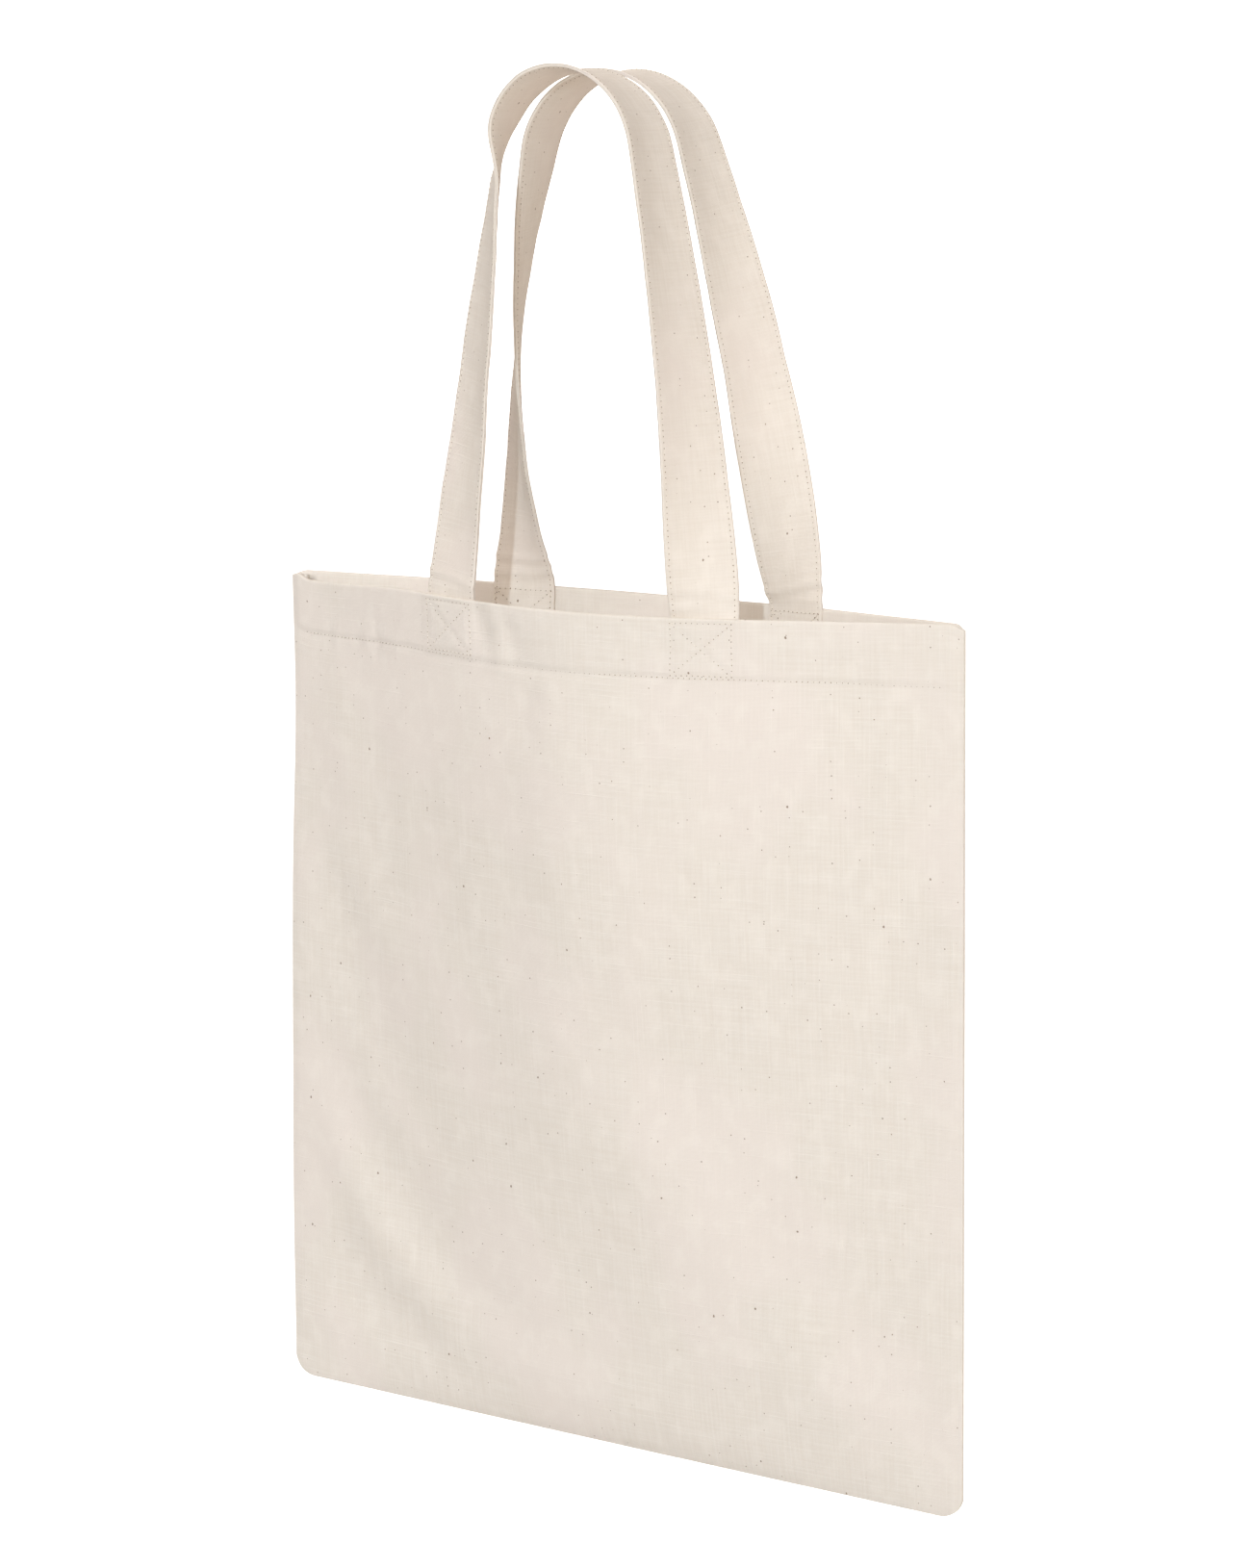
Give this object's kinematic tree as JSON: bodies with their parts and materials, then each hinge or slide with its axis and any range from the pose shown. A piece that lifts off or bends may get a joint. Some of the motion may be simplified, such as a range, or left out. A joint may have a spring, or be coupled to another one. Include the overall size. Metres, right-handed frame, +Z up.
{
  "type": "canvas tote bag",
  "caption": "Plain natural canvas tote bag hanging open from its handles, with a turned hem and box-stitched straps.",
  "frame": {"origin": "the point the bag hangs from, under the tops of both handles and midway between them", "axes": "+Z up; +X across the bag to its right as seen from the front; -Y out of its front; the side seams lie in Y = 0"},
  "size_m": [0.3812, 0.0887, 0.6471],
  "materials": {
    "body_canvas": "matt natural cotton canvas, plain weave with seed flecks",
    "hem_canvas": "matt natural cotton canvas, turned in at the mouth",
    "handle_canvas": "matt natural cotton canvas, folded strip",
    "seam_canvas": "matt natural cotton canvas, raw seam allowance",
    "thread": "natural cotton sewing thread"
  },
  "bodies": {
    "bag": {"front_panel": "body_canvas", "front_hem": "hem_canvas", "front_hem_stitching": "thread", "front_left_tail": "handle_canvas", "front_left_box_stitch": "thread", "front_right_tail": "handle_canvas", "front_right_box_stitch": "thread", "back_panel": "body_canvas", "back_hem": "hem_canvas", "back_hem_stitching": "thread", "back_left_tail": "handle_canvas", "back_left_box_stitch": "thread", "back_right_tail": "handle_canvas", "back_right_box_stitch": "thread", "left_side_seam": "seam_canvas", "left_seam_stitching": "thread", "right_side_seam": "seam_canvas", "right_seam_stitching": "thread", "bottom_seam": "seam_canvas", "bottom_seam_stitching": "thread"},
    "front_handle": {"front_handle": "handle_canvas"},
    "back_handle": {"back_handle": "handle_canvas"}
  },
  "joints": [
    {"name": "front_handle_fold", "type": "hinge", "parent": "bag", "child": "front_handle", "pos_m": [0, -0.03315, -0.241], "axis": [1, 0, 0], "range_deg": [0, 165]},
    {"name": "back_handle_fold", "type": "hinge", "parent": "bag", "child": "back_handle", "pos_m": [0, 0.04447, -0.24278], "axis": [-1, 0, 0], "range_deg": [0, 165]}
  ]
}
